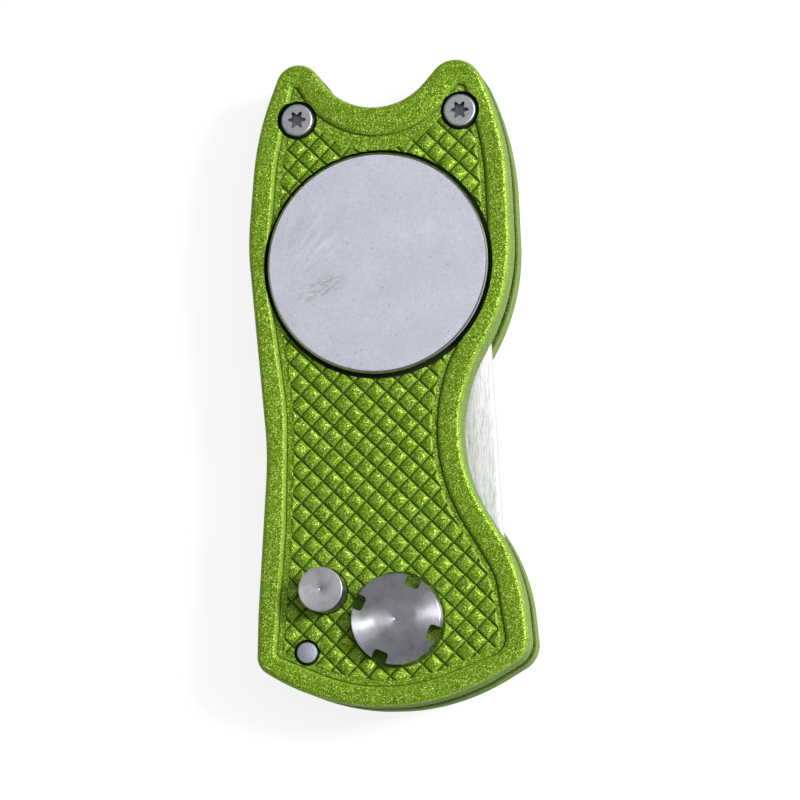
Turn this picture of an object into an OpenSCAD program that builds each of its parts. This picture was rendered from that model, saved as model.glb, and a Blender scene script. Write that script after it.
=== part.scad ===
// Pocket divot repair tool: two shaped metal scales, a fork that swings out of the
// slot between them, a release button and a ball marker held by a magnet.
// Lies flat on its back. +Z is the marker side, +Y points to the ears.
// Origin: middle of the outline, on the plane of the back rim. All sizes in mm.

/* [Handle outline] */
// Overall length, ear tips to bottom curve
handle_length = 72.5; // [64:0.2:90]
// Overall width across the widest part
handle_width = 30.8; // [29.6:0.2:40]
// How far the waist corner is cut in from the right side
waist_bite = 8.26; // [4:0.1:10]
// Height of the waist corner above the middle of the handle
waist_height = -9; // [-14:0.5:0]
// Depth of the notch corner between the ears
valley_depth = 10.4; // [6:0.1:13]
// Left ear, distance in from the left side
ear_left_in = 5.2; // [4:0.1:8]
// Right ear, distance in from the right side
ear_right_in = 6.35; // [4:0.1:8]
// Radius of the ear tips
ear_radius = 2.55; // [1.5:0.05:4]

/* [Layers] */
// Thickness of the front scale
front_thickness = 4.0; // [3.6:0.1:6]
// Thickness of the back scale
back_thickness = 3.4; // [3:0.1:6]
// Slot between the scales
slot_gap = 2.0; // [1.6:0.1:3]
// Round-over on the outer edge of each scale
edge_radius = 0.5; // [0.4:0.1:1.6]

/* [Rim and panel] */
// Height of the rim over the panel
rim_step = 0.35; // [0.2:0.05:0.6]
// Slope allowance of the step, measured across
rim_slope = 0.3; // [0.1:0.05:0.6]

/* [Ball marker] */
// Diameter of the ball marker
marker_diameter = 25; // [20:0.5:26]
// Thickness of the ball marker
marker_thickness = 1.8; // [1.2:0.1:2.4]
// Edge chamfer of the ball marker
marker_chamfer = 0.25; // [0.1:0.05:0.5]
// Height of the marker face over the panel
marker_proud = 0.9; // [0.3:0.1:1.5]
// Radial play of the marker in its recess
marker_play = 0.45; // [0.2:0.05:0.8]
// Gap under the marker
marker_float = 0.05; // [0.02:0.01:0.1]
// Marker centre from the middle line
marker_x = -0.75; // [-2:0.05:2]
// Marker centre below the ear tips
marker_from_top = 23.05; // [20:0.05:28]
// Diameter of the holding magnet
magnet_diameter = 10; // [6:0.5:14]
// Thickness of the holding magnet
magnet_thickness = 1.5; // [1:0.1:2]
// Radial glue gap round the magnet
magnet_gap = 0.05; // [0.02:0.01:0.15]

/* [Pivot] */
// Pivot centre from the middle line
pivot_x = 0.9; // [-2:0.05:3]
// Pivot centre above the bottom curve
pivot_from_bottom = 9.6; // [8:0.05:14]
// Diameter of the notched pivot cap
cap_diameter = 10; // [8:0.1:12]
// Height of the cap over the panel
cap_proud = 1.4; // [0.5:0.1:2]
// Depth of the cap pocket below the panel
cap_seat = 0.4; // [0.4:0.1:1.2]
// Radial gap round the cap
cap_gap = 0.3; // [0.1:0.05:0.6]
// Width of each wrench notch in the cap
cap_notch = 1.7; // [1:0.1:2]
// Radial depth of each wrench notch
cap_notch_depth = 1.15; // [0.5:0.05:1.5]
// Corner radius at the bottom of each wrench notch
cap_notch_corner = 0.4; // [0.1:0.05:0.6]
// Diameter of the pivot post
post_diameter = 4.4; // [3:0.1:5]
// Radial fit of the post in the scales
post_fit = 0.02; // [0.01:0.01:0.05]
// Radial running clearance of the fork on the post
fork_running = 0.05; // [0.02:0.01:0.1]
// Diameter of the pivot screw head
pivot_head_diameter = 6.2; // [5.4:0.1:7]
// Height of the pivot screw head
pivot_head_height = 0.9; // [0.6:0.1:1.2]
// Diameter of the pivot screw thread
pivot_thread = 2.5; // [2:0.1:3]
// Thickness of each thrust washer
washer_thickness = 0.2; // [0.1:0.05:0.3]
// Outer diameter of the front thrust washer
front_washer_diameter = 8; // [6:0.1:9]
// Outer diameter of the back thrust washer
back_washer_diameter = 5.6; // [5.2:0.1:6]

/* [Fork] */
// Thickness of the fork plate
fork_thickness = 1.5; // [1:0.1:2]
// Distance of the tine tips below the ear tips
fork_tip_from_top = 9.8; // [9:0.1:16]
// Right edge of the fork from the pivot, at the shoulder
fork_right = 11.5; // [9:0.1:12]
// Left edge of the fork from the pivot, at the shoulder
fork_left = 4.2; // [3.5:0.1:4.4]
// Sideways taper of each edge over the length of the fork
fork_taper = 2.4; // [0:0.1:3]
// Height of the fork crotch above the pivot
crotch_height = 25; // [20:0.5:34]
// Width of a tine at the crotch
tine_root = 3.4; // [2.5:0.1:4.5]
// Width of a tine at its tip
tine_tip = 1.8; // [1:0.1:3]
// Play between the fork shoulder and the stop pin when open
stop_play = 0.08; // [0.03:0.01:0.2]

/* [Release button] */
// Diameter of the button
button_diameter = 4.95; // [4:0.05:6]
// Button centre left of the pivot
button_left = 8.1; // [7.6:0.05:9]
// Button centre above the pivot
button_up = 3.35; // [2:0.05:5]
// Height of the button over the panel
button_proud = 2.8; // [2:0.1:4]
// Edge chamfer of the button
button_chamfer = 0.35; // [0.1:0.05:0.6]
// Radial running clearance of the button in the front scale
button_running = 0.08; // [0.03:0.01:0.1]
// Diameter of the locking collar
collar_diameter = 7.0; // [6:0.1:7.4]
// Travel of the button
button_travel = 1.75; // [1.2:0.05:2.2]
// Clearance of the collar to the walls round it
collar_gap = 0.12; // [0.08:0.01:0.3]
// Diameter of the spring bore inside the button
button_bore = 3.4; // [2.6:0.1:3.6]

/* [Screws and pins] */
// Left ear screw, distance in from the left side
screw_left_in = 5.6; // [4.5:0.1:7]
// Right ear screw, distance in from the right side
screw_right_in = 6.66; // [4.5:0.1:8]
// Left ear screw below the ear tips
screw_left_down = 6.25; // [5:0.05:8]
// Right ear screw below the ear tips
screw_right_down = 6.05; // [5:0.05:8]
// Diameter of an ear screw head
screw_head = 3.7; // [2.8:0.1:4]
// Height of an ear screw head
screw_head_height = 1.4; // [1:0.1:2]
// Height of the screw heads over the panel
screw_proud = 0.3; // [0:0.05:0.35]
// Diameter of the head counterbore
screw_counterbore = 4.45; // [3.8:0.05:5]
// Diameter of an ear screw thread
screw_thread = 2; // [1.6:0.1:2.5]
// Outer diameter of an ear standoff
standoff_diameter = 4.2; // [3.4:0.1:5]
// Radial clearance of plain screw holes
screw_clearance = 0.05; // [0.02:0.01:0.15]
// Diameter of the stop pin
stop_pin_diameter = 2.3; // [1.8:0.1:3]
// Stop pin left of the pivot
stop_left = 10.2; // [9.8:0.05:10.6]
// Stop pin below the pivot
stop_down = 3.35; // [2:0.05:5]
// Radial fit of pins in their holes
pin_fit = 0.02; // [0.01:0.01:0.05]
// Width of the spine spacer
spine_width = 3.6; // [2.5:0.1:4.6]
// Set-back of the spine spacer from the outline
spine_inset = 0.35; // [0.1:0.05:1]
// Diameter of a spine dowel
dowel_diameter = 1.5; // [1:0.1:2]

/* [Springs] */
// Wire of the fork drive spring
drive_wire = 0.5; // [0.3:0.05:0.6]
// Mean coil radius of the fork drive spring
drive_radius = 3.65; // [3.3:0.05:4]
// Wire of the button spring
button_wire = 0.35; // [0.25:0.05:0.45]

/* [Hidden] */
$fn = 48;
half_length = handle_length / 2;
half_width = handle_width / 2;
arc_steps = 7;
edge_steps = 3;
cut = 0.02;

z_back_inner = back_thickness;
z_front_inner = back_thickness + slot_gap;
z_top = z_front_inner + front_thickness;
z_panel = z_top - rim_step;
z_fork = z_back_inner + (slot_gap - fork_thickness) / 2;

pivot = [pivot_x, -half_length + pivot_from_bottom];
button = [pivot[0] - button_left, pivot[1] + button_up];
stop = [pivot[0] - stop_left, pivot[1] - stop_down];
marker = [marker_x, half_length - marker_from_top];
screw_left = [-half_width + screw_left_in, half_length - screw_left_down];
screw_right = [half_width - screw_right_in, half_length - screw_right_down];

marker_floor = z_panel + marker_proud - marker_thickness - marker_float;
magnet_top = marker_floor - 0.1;
cap_floor = z_panel - cap_seat;
screw_floor = z_panel + screw_proud - screw_head_height;
pivot_head_floor = 0.15 + pivot_head_height;
collar_reach = sqrt(button_left * button_left + button_up * button_up);
land_radius = collar_reach - collar_diameter / 2 - collar_gap;
collar_top = z_front_inner - 0.08;
collar_bottom = z_back_inner + 0.08;
button_pocket_floor = collar_bottom - button_travel - 0.1;
drive_pocket_floor = pivot_head_floor + 0.55;
drive_pocket_radius = drive_radius + drive_wire / 2 + 0.35;
boss_radius = post_diameter / 2 + 0.55;
screw_tip = 1.3;

// Control corners of the outline, clockwise, each [x, y, radius].
outline = [
    [-half_width + ear_left_in, half_length + 3.42, ear_radius],
    [-1.97, half_length - valley_depth, 7.4],
    [half_width - ear_right_in, half_length + 2.4, ear_radius + 0.5],
    [half_width - 1.6, half_length - 8.4, 33],
    [half_width - 1.04, half_length - 26.6, 23.8],
    [half_width - waist_bite + 2.1, waist_height + 9.6, 18],
    [half_width - waist_bite, waist_height, 17.2],
    [half_width - 0.7, -half_length + 14.9, 19.9],
    [half_width + 0.2, -half_length + 5.5, 3.1],
    [-0.93, -half_length - 4.1, 24.6],
    [-half_width + 0.45, -half_length + 4.75, 2.2],
    [-half_width + 0.65, -half_length + 10.8, 40],
    [-half_width + 1.85, -7.7, 38],
    [-half_width - 0.2, half_length - 20.4, 30.6],
    [-half_width + 0.92, half_length - 7.9, 33]
];

// Control corners of the sunk panel inside the rim, same format.
panel = [
    [-half_width + ear_left_in, half_length - 1.4, 0.5],
    [-2.25, half_length - valley_depth - 5.7, 9.75],
    [half_width - ear_right_in, half_length - 2.0, 0.8],
    [half_width - 3.88, half_length - 10.3, 30],
    [half_width - 3.38, half_length - 25.2, 14],
    [half_width - waist_bite - 0.33, waist_height + 10, 14.2],
    [half_width - waist_bite - 2.55, waist_height - 0.3, 20],
    [half_width - 3.38, -half_length + 14.3, 7.5],
    [half_width - 2.12, -half_length + 5.9, 2.2],
    [-0.87, -half_length + 0.6, 19.4],
    [-half_width + 2.48, -half_length + 5.85, 0.8],
    [-half_width + 3.63, -half_length + 19.9, 40],
    [-half_width + 3.98, -3.4, 33],
    [-half_width + 1.89, half_length - 23.8, 25],
    [-half_width + 2.97, half_length - 11.1, 20]
];

function unit(v) = v / norm(v);
function right_of(p, q) = let (e = unit(q - p)) [e[1], -e[0]];
function flat(v) = [v[0], v[1]];
function turn(a, b, c) = (b[0] - a[0]) * (c[1] - b[1]) - (b[1] - a[1]) * (c[0] - b[0]);

// Moves every edge of a clockwise corner list inwards by d.
function inset(v, d) = [
    for (i = [0 : len(v) - 1])
        let (
            n = len(v),
            a = flat(v[(i + n - 1) % n]), p = flat(v[i]), b = flat(v[(i + 1) % n]),
            n1 = right_of(a, p), n2 = right_of(p, b),
            q = p + d * (n1 + n2) / (1 + n1 * n2),
            r = turn(a, p, b) < 0 ? v[i][2] - d : v[i][2] + d
        )
        [q[0], q[1], max(r, 0.05)]
];

// Points of one rounded corner.
function corner(v, i, k) =
    let (
        n = len(v),
        a = flat(v[(i + n - 1) % n]), p = flat(v[i]), b = flat(v[(i + 1) % n]), r = v[i][2],
        u = unit(a - p), w = unit(b - p),
        half = acos(u * w) / 2,
        c = p + unit(u + w) * r / sin(half),
        s = p + u * r / tan(half) - c,
        sweep = (turn(a, p, b) < 0 ? -1 : 1) * (180 - 2 * half),
        a0 = atan2(s[1], s[0])
    )
    [for (j = [0 : k]) c + r * [cos(a0 + sweep * j / k), sin(a0 + sweep * j / k)]];

function ring(v, k = arc_steps) = [for (i = [0 : len(v) - 1]) each corner(v, i, k)];

// Closed band round a corner list; section is a loop of [inset, height].
module band(v, section) {
    rings = [for (s = section) ring(inset(v, s[0]))];
    n = len(rings[0]);
    m = len(section);
    points = [for (j = [0 : m - 1]) for (p = rings[j]) [p[0], p[1], section[j][1]]];
    sides = [
        for (j = [0 : m - 1]) for (i = [0 : n - 1])
            let (i2 = (i + 1) % n, j2 = (j + 1) % m)
            each [[j * n + i, j2 * n + i, j2 * n + i2], [j * n + i, j2 * n + i2, j * n + i2]]
    ];
    polyhedron(points, sides, convexity = 6);
}

// Wire along stations [point, tangent, side].
module wire(stations, radius, sides = 8) {
    n = len(stations);
    points = [
        for (s = stations)
            let (b = unit(cross(s[1], s[2])), a = unit(cross(b, s[1])))
            for (k = [0 : sides - 1]) s[0] + radius * (cos(k * 360 / sides) * a + sin(k * 360 / sides) * b)
    ];
    skin = [
        for (j = [0 : n - 2]) for (k = [0 : sides - 1])
            let (k2 = (k + 1) % sides)
            each [
                [j * sides + k, (j + 1) * sides + k, (j + 1) * sides + k2],
                [j * sides + k, (j + 1) * sides + k2, j * sides + k2]
            ]
    ];
    polyhedron(points, concat(skin, [[for (k = [0 : sides - 1]) k]],
        [[for (k = [sides - 1 : -1 : 0]) (n - 1) * sides + k]]), convexity = 10);
}

module at(p, z = 0) { translate([p[0], p[1], z]) children(); }

module rod(d, z0, z1) { translate([0, 0, z0]) cylinder(d = d, h = z1 - z0); }

// Section of the cutter that rounds the outer edge, as chords of a quarter circle.
function edge_section(t) =
    let (
        r = edge_radius,
        arc = [for (j = [0 : edge_steps]) [r * (1 - cos(90 * j / edge_steps)), t - r + r * sin(90 * j / edge_steps)]],
        first = arc[0] + 0.15 * (arc[0] - arc[1]),
        last = arc[edge_steps] + 0.15 * (arc[edge_steps] - arc[edge_steps - 1])
    )
    concat([[-0.6, t + 0.5], [-0.6, t - r - 0.1], first], [for (j = [1 : edge_steps - 1]) arc[j]], [last, [r + 0.1, t + 0.5]]);

// One scale lying with its inner face at z = 0 and its rim at z = t.
module scale_body(t) {
    floor_z = t - rim_step;
    half_slope = rim_slope / 2;
    difference() {
        linear_extrude(height = t) polygon(ring(outline));
        band(outline, edge_section(t));
        translate([0, 0, floor_z]) linear_extrude(height = 2) polygon(ring(inset(panel, half_slope)));
        band(panel, [
            [half_slope + 0.1, floor_z + 0.06], [half_slope + 0.1, t + 0.3],
            [-half_slope - 0.02, t + 0.3], [-half_slope - 0.02, t + 0.02]
        ]);
    }
}

module six_lobe(r, z0, z1) {
    rod(2 * r, z0, z1);
    for (k = [0 : 5]) rotate([0, 0, 60 * k]) translate([r, 0, 0]) rod(0.42 * r, z0, z1);
}

module cap_screw(head_d, head_h, thread_d, z_seat, z_tip, chamfer, lobe) {
    difference() {
        rotate_extrude()
            polygon([
                [0, z_tip], [thread_d / 2 - 0.2, z_tip], [thread_d / 2, z_tip + 0.2], [thread_d / 2, z_seat],
                [head_d / 2, z_seat], [head_d / 2, z_seat + head_h - chamfer],
                [head_d / 2 - chamfer, z_seat + head_h], [0, z_seat + head_h]
            ]);
        six_lobe(lobe, z_seat + head_h - 0.75, z_seat + head_h + cut);
    }
}

// Front scale: rim, sunk panel, marker recess, magnet pocket, cap pocket and bores
module front_scale() {
    color([0.52, 0.68, 0.16])
        difference() {
            translate([0, 0, z_front_inner]) scale_body(front_thickness);
            at(marker) rod(marker_diameter + 2 * marker_play, marker_floor, z_top + 1);
            at(marker) rod(magnet_diameter + 2 * magnet_gap, magnet_top - magnet_thickness, marker_floor + cut);
            at(pivot) rod(cap_diameter + 2 * cap_gap, cap_floor, z_top + 1);
            at(pivot) rod(post_diameter + 2 * post_fit, z_front_inner - 1, z_top + 1);
            at(button) rod(button_diameter + 2 * button_running, z_front_inner - 1, z_top + 1);
            at(stop) rod(stop_pin_diameter + 2 * pin_fit, z_front_inner - 1, z_top + 1);
            at(stop) rod(stop_pin_diameter + 0.6, z_panel - 0.4, z_top + 1);
            for (p = [screw_left, screw_right]) {
                at(p) rod(screw_thread + 2 * screw_clearance, z_front_inner - 1, z_top + 1);
                at(p) rod(screw_counterbore, screw_floor, z_top + 1);
            }
            for (p = spine_dowels) at(p) rod(dowel_diameter + 2 * pin_fit, z_front_inner - 1, z_front_inner + 1.6);
        }
}

// Back scale: the mirrored shell, with the spring pockets and threaded bosses
module back_scale() {
    color([0.5, 0.66, 0.16])
        difference() {
            mirrored_back();
            at(pivot) rod(post_diameter + 2 * post_fit, -1, z_back_inner + 1);
            at(pivot) rod(pivot_head_diameter + 0.5, -1, pivot_head_floor);
            at(pivot) difference() {
                rod(2 * drive_pocket_radius, drive_pocket_floor, z_back_inner + 1);
                rod(2 * boss_radius, drive_pocket_floor - 1, z_back_inner + 2);
            }
            at(pivot) rotate([0, 0, drive_leg_angle]) translate([drive_pocket_radius - 0.4, -0.45, drive_pocket_floor])
                cube([1.6, 0.9, 5]);
            at(button) rod(collar_diameter + 2 * collar_gap, button_pocket_floor, z_back_inner + 1);
            at(stop) rod(stop_pin_diameter + 2 * pin_fit, screw_tip - 0.1, z_back_inner + 1);
            for (p = [screw_left, screw_right]) at(p) rod(screw_thread + 0.02, screw_tip - 0.1, z_back_inner + 1);
            for (p = spine_dowels) at(p) rod(dowel_diameter + 2 * pin_fit, z_back_inner - 1.6, z_back_inner + 1);
        }
}

module mirrored_back() {
    translate([0, 0, z_back_inner]) mirror([0, 0, 1]) scale_body(back_thickness);
}

spine_x = -half_width + spine_width;
spine_top = half_length - 13;
spine_bottom = -half_length + 6.5;
spine_dowels = [[-half_width + 2.25, spine_top - 6], [-half_width + 2.6, spine_bottom + 8]];
drive_leg_angle = 290;
drive_turn = 880;

// Spine spacer closing the left side of the slot
module spine_spacer() {
    color([0.24, 0.25, 0.26])
        difference() {
            translate([0, 0, z_back_inner])
                linear_extrude(height = slot_gap)
                    intersection() {
                        polygon(ring(inset(outline, spine_inset)));
                        translate([-2 * half_width, spine_bottom]) square([half_width + spine_width, spine_top - spine_bottom]);
                    }
            for (p = spine_dowels) at(p) rod(dowel_diameter + 2 * pin_fit, z_back_inner - 1, z_front_inner + 1);
        }
}

module dowel(p) { at(p) rod(dowel_diameter, z_back_inner - 1.5, z_front_inner + 1.5); }

// Upper spine dowel
module spine_dowel_upper() { color([0.7, 0.7, 0.72]) dowel(spine_dowels[0]); }

// Lower spine dowel
module spine_dowel_lower() { color([0.7, 0.7, 0.72]) dowel(spine_dowels[1]); }

module standoff(p) {
    at(p) difference() {
        rod(standoff_diameter, z_back_inner, z_front_inner);
        rod(screw_thread + 2 * screw_clearance, z_back_inner - 1, z_front_inner + 1);
    }
}

// Left ear standoff
module ear_standoff_left() { color([0.62, 0.63, 0.65]) standoff(screw_left); }

// Right ear standoff
module ear_standoff_right() { color([0.62, 0.63, 0.65]) standoff(screw_right); }

module ear_screw(p) {
    at(p) cap_screw(screw_head, screw_head_height, screw_thread, screw_floor, screw_tip, 0.3, 0.62);
}

// Left ear screw
module ear_screw_left() { color([0.72, 0.73, 0.75]) ear_screw(screw_left); }

// Right ear screw
module ear_screw_right() { color([0.72, 0.73, 0.75]) ear_screw(screw_right); }

// Notched pivot cap with its post
module pivot_cap() {
    post_bottom = pivot_head_floor + 0.1;
    color([0.5, 0.5, 0.53])
        at(pivot) difference() {
            rotate_extrude()
                polygon([
                    [0, post_bottom], [post_diameter / 2, post_bottom], [post_diameter / 2, cap_floor],
                    [cap_diameter / 2, cap_floor], [cap_diameter / 2, z_panel + cap_proud - 0.35],
                    [cap_diameter / 2 - 0.35, z_panel + cap_proud], [0, z_panel + cap_proud]
                ]);
            for (k = [0 : 3]) rotate([0, 0, 63.5 + 91.5 * k]) {
                r = cap_diameter / 2 - cap_notch_depth + cap_notch_corner;
                side = cap_notch / 2 - cap_notch_corner;
                tall = cap_seat + cap_proud + 2;
                for (s = [-1, 1]) translate([r, s * side, 0])
                    rod(2 * cap_notch_corner, cap_floor - 1, z_panel + cap_proud + 1);
                translate([r - cap_notch_corner, -side, cap_floor - 1]) cube([cap_notch, 2 * side, tall]);
                translate([r, -cap_notch / 2, cap_floor - 1]) cube([cap_notch, cap_notch, tall]);
            }
            rod(pivot_thread, 0, z_front_inner + 1);
        }
}

// Pivot screw, driven in from the back
module pivot_screw() {
    color([0.6, 0.6, 0.62])
        at(pivot, pivot_head_floor) mirror([0, 0, 1])
            cap_screw(pivot_head_diameter, pivot_head_height, pivot_thread - 0.04, 0,
                -(z_front_inner + 0.6 - pivot_head_floor), 0.25, 0.9);
}

module washer(d, z) {
    at(pivot) difference() {
        rod(d, z, z + washer_thickness);
        rod(post_diameter + 0.06, z - 1, z + 1);
    }
}

// Front thrust washer
module pivot_washer_front() { color([0.75, 0.6, 0.35]) washer(front_washer_diameter, z_front_inner - washer_thickness); }

// Back thrust washer
module pivot_washer_back() { color([0.75, 0.6, 0.35]) washer(back_washer_diameter, z_back_inner); }

// Fork plate corners about the pivot, closed, clockwise
reach = (half_length - fork_tip_from_top) - pivot[1];
shoulder = stop_down + stop_pin_diameter / 2 + stop_play;
fork_taper_at = fork_taper * (crotch_height - shoulder) / (reach - shoulder);
fork_plate = [
    [-fork_left, 0.4, 0.05],
    [-fork_left, shoulder, 6],
    [-fork_left + fork_taper, reach, tine_tip * 0.45],
    [-fork_left + fork_taper + tine_tip, reach, tine_tip * 0.45],
    [-fork_left + fork_taper_at + tine_root, crotch_height, 3.2],
    [fork_right - fork_taper_at - tine_root, crotch_height, 3.2],
    [fork_right - fork_taper - tine_tip, reach, tine_tip * 0.45],
    [fork_right - fork_taper, reach, tine_tip * 0.45],
    [fork_right, shoulder, 1.2],
    [8.6, shoulder, 0.5],
    [8.6, 0.6, 0.7],
    [4.2, 0.4, 0.05]
];

// Fork with its tang
module fork_blade() {
    color([0.86, 0.86, 0.87])
        at(pivot, z_fork) difference() {
            union() {
                linear_extrude(height = fork_thickness) polygon(ring(fork_plate, 6));
                cylinder(r = land_radius, h = fork_thickness);
            }
            translate([0, 0, -1]) cylinder(d = post_diameter + 2 * fork_running, h = fork_thickness + 2);
            rotate([0, 0, drive_leg_angle + drive_turn + 9])
                translate([drive_radius, 0, -1]) cylinder(d = drive_wire + 0.5, h = 1.9);
        }
}

// Torsion spring that throws the fork open
module drive_spring() {
    z0 = drive_pocket_floor + drive_wire / 2 + 0.03;
    z1 = z_back_inner - drive_wire / 2 - 0.05;
    a0 = drive_leg_angle;
    total = drive_turn;
    steps = 66;
    rise = (z1 - z0) / (total * PI / 180 * drive_radius);
    out = [cos(a0), sin(a0), 0];
    coil = [
        for (j = [0 : steps])
            let (a = a0 + 10 + (total - 10) * j / steps, side = [cos(a), sin(a), 0], t = unit([-sin(a), cos(a), rise]))
            [[drive_radius * side[0], drive_radius * side[1], z0 + (z1 - z0) * j / steps], t, side]
    ];
    a1 = a0 + total;
    side1 = [cos(a1 + 6), sin(a1 + 6), 0];
    foot = drive_radius * [cos(a0 + 10), sin(a0 + 10), 0] + [0, 0, z0];
    heel = (drive_pocket_radius + 0.9) * [cos(a0), sin(a0), 0] + [0, 0, z0];
    bend = (drive_radius + 0.35) * [cos(a0 + 3), sin(a0 + 3), 0] + [0, 0, z0];
    tail = drive_radius * side1 + [0, 0, z1];
    color([0.72, 0.72, 0.74])
        at(pivot) wire(concat(
            [[heel, -out, [-sin(a0), cos(a0), 0]], [bend, unit(-out + [-sin(a0), cos(a0), 0] * 0.8), unit([-sin(a0), cos(a0), 0] + out * 0.8)]],
            coil,
            [[tail + [0, 0, 0.25], unit([-sin(a1 + 6), cos(a1 + 6), 1.4]), side1],
             [drive_radius * [cos(a1 + 9), sin(a1 + 9), 0] + [0, 0, z_fork + 0.65], [0, 0, 1], [cos(a1 + 9), sin(a1 + 9), 0]]]
        ), drive_wire / 2);
}

// Release button with its locking collar
module release_button() {
    z_cap = z_panel + button_proud;
    r = button_diameter / 2;
    color([0.66, 0.66, 0.68])
        at(button) difference() {
            rotate_extrude()
                polygon([
                    [0, collar_bottom], [collar_diameter / 2 - 0.15, collar_bottom],
                    [collar_diameter / 2, collar_bottom + 0.15], [collar_diameter / 2, collar_top],
                    [r, collar_top], [r, z_cap - button_chamfer], [r - button_chamfer, z_cap], [0, z_cap]
                ]);
            rod(button_bore, collar_bottom - 1, z_panel - 0.6);
        }
}

// Coil spring under the release button
module button_spring() {
    radius = button_bore / 2 - button_wire / 2 - 0.15;
    z0 = button_pocket_floor + button_wire / 2 + 0.02;
    z1 = z_panel - 0.6 - button_wire / 2 - 0.02;
    turns = 7;
    steps = 20 * turns;
    stations = [
        for (j = [0 : steps])
            let (a = 360 * turns * j / steps, side = [cos(a), sin(a), 0])
            [[radius * side[0], radius * side[1], z0 + (z1 - z0) * j / steps],
             unit([-sin(a), cos(a), (z1 - z0) / (2 * PI * radius * turns)]), side]
    ];
    color([0.74, 0.74, 0.76]) at(button) wire(stations, button_wire / 2, 6);
}

// Stop pin through both scales
module stop_pin() {
    color([0.66, 0.68, 0.72]) at(stop) rod(stop_pin_diameter, screw_tip, z_panel);
}

// Magnet under the marker recess
module marker_magnet() {
    color([0.55, 0.55, 0.57]) at(marker) rod(magnet_diameter, magnet_top - magnet_thickness, magnet_top);
}

// Ball marker
module ball_marker() {
    z = marker_floor + marker_float;
    r = marker_diameter / 2;
    c = marker_chamfer;
    color([0.76, 0.77, 0.81])
        at(marker) rotate_extrude($fn = 96)
            polygon([
                [0, z], [r - c, z], [r, z + c], [r, z + marker_thickness - c],
                [r - c, z + marker_thickness], [0, z + marker_thickness]
            ]);
}

front_scale();
back_scale();
spine_spacer();
spine_dowel_upper();
spine_dowel_lower();
ear_standoff_left();
ear_standoff_right();
ear_screw_left();
ear_screw_right();
pivot_cap();
pivot_screw();
pivot_washer_front();
pivot_washer_back();
fork_blade();
drive_spring();
release_button();
button_spring();
stop_pin();
marker_magnet();
ball_marker();
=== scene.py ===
"""Looks of a pocket divot repair tool: two painted scales with a knurled panel, a steel fork that folds
into the slot between them, a release button, a notched pivot cap and a ball marker.

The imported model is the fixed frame. Every mesh is worked out with numpy in that frame, in metres.
"""

import logging
from collections.abc import Sequence
from dataclasses import dataclass
from enum import Enum
from math import cos, pi, radians, sin

import bpy
import numpy as np
from mathutils import Matrix, Vector


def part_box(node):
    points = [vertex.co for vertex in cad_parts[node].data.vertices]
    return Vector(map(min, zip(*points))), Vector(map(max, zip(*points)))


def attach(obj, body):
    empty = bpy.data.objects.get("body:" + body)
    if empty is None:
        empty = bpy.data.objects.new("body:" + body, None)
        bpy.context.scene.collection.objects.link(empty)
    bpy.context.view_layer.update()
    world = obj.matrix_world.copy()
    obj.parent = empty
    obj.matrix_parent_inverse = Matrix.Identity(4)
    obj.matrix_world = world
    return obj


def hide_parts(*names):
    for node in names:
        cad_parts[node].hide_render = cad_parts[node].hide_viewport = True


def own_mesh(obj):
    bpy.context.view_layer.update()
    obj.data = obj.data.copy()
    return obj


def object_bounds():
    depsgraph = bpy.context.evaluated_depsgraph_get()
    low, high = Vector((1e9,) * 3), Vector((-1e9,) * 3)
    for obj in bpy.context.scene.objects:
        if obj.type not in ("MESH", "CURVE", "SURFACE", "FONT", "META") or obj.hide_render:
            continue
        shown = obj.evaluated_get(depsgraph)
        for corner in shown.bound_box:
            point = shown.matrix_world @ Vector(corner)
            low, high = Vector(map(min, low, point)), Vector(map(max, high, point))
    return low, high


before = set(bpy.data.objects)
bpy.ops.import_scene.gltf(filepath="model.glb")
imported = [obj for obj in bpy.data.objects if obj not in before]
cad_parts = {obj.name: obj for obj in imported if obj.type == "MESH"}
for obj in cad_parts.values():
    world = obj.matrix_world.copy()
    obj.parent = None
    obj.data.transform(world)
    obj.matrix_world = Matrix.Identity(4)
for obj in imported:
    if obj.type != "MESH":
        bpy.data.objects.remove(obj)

Socket = bpy.types.NodeSocket
Piece = bpy.types.Object
Material = bpy.types.Material
Pair = tuple[float, float]
Triple = tuple[float, float, float]
Rgb = tuple[float, float, float]
LOG = logging.getLogger("divot_tool")
CAD_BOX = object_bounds()
MM = 0.001
SMOOTH_ANGLE = radians(32)


# ---------------------------------------------------------------- sizes shared by the pieces


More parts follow.
